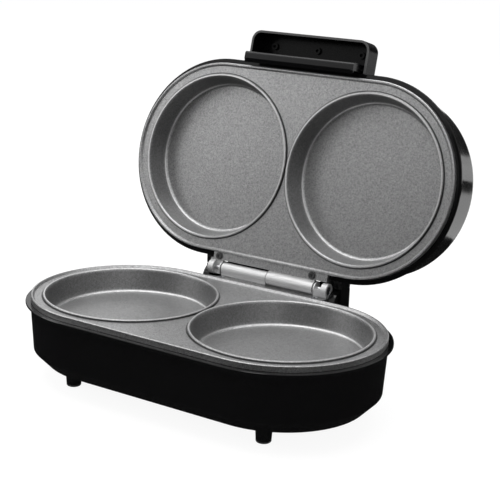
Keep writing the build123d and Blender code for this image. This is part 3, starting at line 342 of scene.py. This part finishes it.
# metals: two tones, roughness and fine streaks along one axis
brushing = {"range": (0.3, 0.7), "bump": 0.00001}
blackScrew = {
    "tones": ((0.03, 0.03, 0.03), (0.09, 0.09, 0.092)),
    "roughness": (0.3, 0.45),
    "stretch": (900, 900, 900),
    "metallic": 0.5,
}
platedSteel = {
    "tones": ((0.55, 0.55, 0.57), (0.72, 0.72, 0.74)),
    "roughness": (0.18, 0.32),
    "stretch": (500, 500, 500),
    "metallic": 1.0,
}
turnedSteel = {
    "tones": ((0.42, 0.42, 0.43), (0.60, 0.60, 0.61)),
    "roughness": (0.2, 0.35),
    "stretch": (40, 1800, 1800),
    "metallic": 1.0,
}
heatedSteel = {
    "tones": ((0.10, 0.095, 0.09), (0.22, 0.20, 0.185)),
    "roughness": (0.4, 0.6),
    "stretch": (300, 300, 300),
    "metallic": 0.9,
}
shieldSheet = {
    "tones": ((0.58, 0.58, 0.59), (0.70, 0.70, 0.71)),
    "roughness": (0.3, 0.45),
    "stretch": (60, 900, 900),
    "metallic": 1.0,
}
plainBrass = {
    "tones": ((0.52, 0.42, 0.20), (0.72, 0.60, 0.33)),
    "roughness": (0.2, 0.35),
    "stretch": (400, 400, 400),
    "metallic": 1.0,
}


def metalMaterial(name, p):
    material, tree, shader = newMaterial(name)
    spread = remap(tree, streakField(tree, p["stretch"]), *brushing["range"], 0.0, 1.0)
    tree.links.new(blendColours(tree, spread, *p["tones"]), shader.inputs["Base Color"])
    tree.links.new(remap(tree, spread, 0.0, 1.0, *p["roughness"]), shader.inputs["Roughness"])
    tree.links.new(bumpFrom(tree, spread, brushing["bump"]), shader.inputs["Normal"])
    shader.inputs["Metallic"].default_value = p["metallic"]
    return material


# woven glass sleeve of the fuse
sleeve = {
    "tones": ((0.52, 0.50, 0.42), (0.80, 0.78, 0.70)),
    "scale": 1500.0,
    "distortion": 1.5,
    "roughness": 0.8,
    "bump": 0.0001,
}


def sleeveMaterial(p):
    material, tree, shader = newMaterial("glassSleeve")
    place = node(tree, "ShaderNodeTexCoord")
    weave = node(tree, "ShaderNodeTexWave", wave_type="BANDS", bands_direction="DIAGONAL")
    weave.inputs["Scale"].default_value = p["scale"]
    weave.inputs["Distortion"].default_value = p["distortion"]
    tree.links.new(place.outputs["Object"], weave.inputs["Vector"])
    colour = blendColours(tree, weave.outputs["Fac"], *p["tones"])
    tree.links.new(colour, shader.inputs["Base Color"])
    tree.links.new(bumpFrom(tree, weave.outputs["Fac"], p["bump"]), shader.inputs["Normal"])
    shader.inputs["Roughness"].default_value = p["roughness"]
    return material


# clear mouldings: the lenses are tinted, the lamps plain
clearBody = {"rippleScale": 700.0, "deepening": 0.85, "ior": 1.49}
lensTint = {"colour": (0.85, 0.22, 0.05), "roughness": 0.08, "clear": 0.75}
lampTint = {"colour": (0.95, 0.80, 0.72), "roughness": 0.03, "clear": 0.9}


def clearMaterial(name, p):
    material, tree, shader = newMaterial(name)
    ripple = noiseField(tree, clearBody["rippleScale"])
    deep = tuple(clearBody["deepening"] * c for c in p["colour"])
    tree.links.new(blendColours(tree, ripple, deep, p["colour"]), shader.inputs["Base Color"])
    shader.inputs["Roughness"].default_value = p["roughness"]
    shader.inputs["Transmission Weight"].default_value = p["clear"]
    shader.inputs["IOR"].default_value = clearBody["ior"]
    return material


finishes = {
    "gloss_black_plastic": mouldedMaterial("glossBlackPlastic", glossBlack),
    "satin_black_plastic": mouldedMaterial("satinBlackPlastic", satinBlack),
    "rubber_black": mouldedMaterial("blackRubber", rubberBlack),
    "terminal_nylon": mouldedMaterial("naturalNylon", naturalNylon),
    "black_screws": metalMaterial("blackenedScrew", blackScrew),
    "plated_screws": metalMaterial("platedScrew", platedSteel),
    "pin_steel": metalMaterial("turnedSteel", turnedSteel),
    "element_steel": metalMaterial("heatedSteel", heatedSteel),
    "shield_steel": metalMaterial("shieldSheet", shieldSheet),
    "thermostat_can": metalMaterial("drawnCan", shieldSheet),
    "terminal_brass": metalMaterial("plainBrass", plainBrass),
    "fuse_sleeve": sleeveMaterial(sleeve),
    "lens_amber": clearMaterial("amberLens", lensTint),
    "lamp_glass": clearMaterial("lampGlass", lampTint),
}
ownFinishes = {
    "lower_plate": coatingMaterial("lowerCoating", coating, closing["middle"], closing["axis"]),
    "upper_plate": coatingMaterial("upperCoating", coating, upperMiddle, upperAxis),
    "handle": mouldedMaterial("handleBlack", handleBlack),
    "latch_clip": mouldedMaterial("latchBlack", latchBlack),
}
slotOf = {s["node"]: s["material_slot"] for s in frame["record"]["subparts"]}
for name, piece in cad.items():
    piece.data.materials.clear()
    piece.data.materials.append(ownFinishes.get(name) or finishes[slotOf[name]])
print("finishes given to", len(cad), "nodes")


# pale floor and studio light; sizes in metres, power in watts
studio = {
    "floorSide": 14.0,
    "floorColour": 0.9,
    "floorRoughness": 0.9,
    "floorGlow": 0.82,
    "floorBrightness": 1.12,
    "world": 0.5,
    "lamps": [
        {
            "name": "topSoftbox",
            "at": (-0.2, 0.1, 1.9),
            "towards": (0, 0, 0.1),
            "size": (2.2, 1.6),
            "power": 30.0,
        },
        {
            "name": "leftSoftbox",
            "at": (-1.8, -0.9, 1.0),
            "towards": (0, 0, 0.15),
            "size": (1.2, 1.2),
            "power": 12.0,
        },
    ],
    # cards round the object that only reflections meet: name, middle, width and height,
    # azimuth faced or None where the card lies flat, and how bright it looks
    "cards": [
        ("darkCloth", (0.0, -0.6, 0.002), (3.4, 2.2), None, 0.012),
        ("rearSheet", (1.3, 3.2, 0.003), (2.36, 5.72), None, 1.15),
        ("handleFlag", (0.66, 1.16, 0.006), (0.62, 0.7), None, 0.02),
        ("frontFlag", (0.0, -1.7, 0.35), (2.8, 0.9), 0.0, 0.02),
        ("leftFlag", (-1.7, 0.0, 0.3), (2.6, 0.7), -90.0, 0.02),
        ("rightFlag", (1.7, 0.0, 0.3), (2.6, 0.7), 90.0, 0.03),
        ("rearFlag", (0.0, 1.7, 0.52), (2.8, 0.6), 180.0, 0.03),
    ],
}
square = ((-1, -1), (1, -1), (1, 1), (-1, 1))


def sheetObject(name, corners):
    mesh = bpy.data.meshes.new(name)
    mesh.from_pydata([tuple(c) for c in corners], [], [(0, 1, 2, 3)])
    sheet = bpy.data.objects.new(name, mesh)
    bpy.context.scene.collection.objects.link(sheet)
    return sheet


def seenDirectly(tree):
    # one where a ray comes from the camera, a reflection or clear plastic
    path = node(tree, "ShaderNodeLightPath")
    value = path.outputs["Is Camera Ray"]
    for other in ("Is Glossy Ray", "Is Transmission Ray"):
        larger = node(tree, "ShaderNodeMath", operation="MAXIMUM")
        tree.links.new(value, larger.inputs[0])
        tree.links.new(path.outputs[other], larger.inputs[1])
        value = larger.outputs[0]
    return value


def makeFloor(p):
    half = p["floorSide"] / 2
    floor = sheetObject("floor", [(a * half, b * half, 0) for a, b in square])
    material, tree, shader = newMaterial("paleFloor")
    shader.inputs["Base Color"].default_value = (p["floorColour"],) * 3 + (1,)
    shader.inputs["Roughness"].default_value = p["floorRoughness"]
    shader.inputs["Specular IOR Level"].default_value = 0.0
    glow = node(tree, "ShaderNodeEmission")
    glow.inputs["Color"].default_value = (1, 1, 1, 1)
    glow.inputs["Strength"].default_value = p["floorBrightness"]
    mix = node(tree, "ShaderNodeMixShader")
    share = remap(tree, seenDirectly(tree), 0.0, 1.0, 0.0, p["floorGlow"])
    tree.links.new(share, mix.inputs[0])
    tree.links.new(shader.outputs["BSDF"], mix.inputs[1])
    tree.links.new(glow.outputs["Emission"], mix.inputs[2])
    tree.links.new(mix.outputs["Shader"], tree.nodes["Material Output"].inputs["Surface"])
    floor.data.materials.append(material)


def makeWorld(p):
    world = bpy.data.worlds.new("studio")
    bpy.context.scene.world = world
    world.use_nodes = True
    tree = world.node_tree
    tree.nodes.clear()
    output = node(tree, "ShaderNodeOutputWorld")
    background = node(tree, "ShaderNodeBackground")
    background.inputs["Color"].default_value = (1, 1, 1, 1)
    strength = remap(tree, seenDirectly(tree), 0.0, 1.0, p["world"], 1.0)
    tree.links.new(strength, background.inputs["Strength"])
    tree.links.new(background.outputs["Background"], output.inputs["Surface"])


def makeLamp(p):
    data = bpy.data.lights.new(p["name"], "AREA")
    data.shape = "RECTANGLE"
    data.size, data.size_y = p["size"]
    data.energy = p["power"]
    lamp = bpy.data.objects.new(p["name"], data)
    away = np.array(p["at"]) - np.array(p["towards"])
    side = np.cross((0, 0, 1), away)
    side = side / np.linalg.norm(side)
    away = away / np.linalg.norm(away)
    turned = Matrix(np.column_stack([side, np.cross(away, side), away]).tolist())
    lamp.matrix_world = Matrix.Translation(p["at"]) @ turned.to_4x4()
    bpy.context.scene.collection.objects.link(lamp)


def makeCard(name, at, size, facing, tone):
    # a flat card of one even tone; it casts no shadow and the camera doesn't see it
    turn = math.radians(facing or 0.0)
    across = np.array([math.cos(turn), math.sin(turn), 0.0]) * size[0] / 2
    upward = np.array([0.0, 1.0, 0.0] if facing is None else [0.0, 0.0, 1.0]) * size[1] / 2
    card = sheetObject(name, [np.array(at) + a * across + b * upward for a, b in square])
    material, tree, shader = newMaterial(name)
    light = node(tree, "ShaderNodeEmission")
    light.inputs["Color"].default_value = (tone, tone, tone, 1)
    tree.links.new(light.outputs["Emission"], tree.nodes["Material Output"].inputs["Surface"])
    tree.nodes.remove(shader)
    card.data.materials.append(material)
    card.visible_camera = False
    card.visible_diffuse = False
    card.visible_shadow = False
    card.visible_transmission = False


makeFloor(studio)
makeWorld(studio)
for lampSettings in studio["lamps"]:
    makeLamp(lampSettings)
for cardSettings in studio["cards"]:
    makeCard(*cardSettings)
print("studio made")
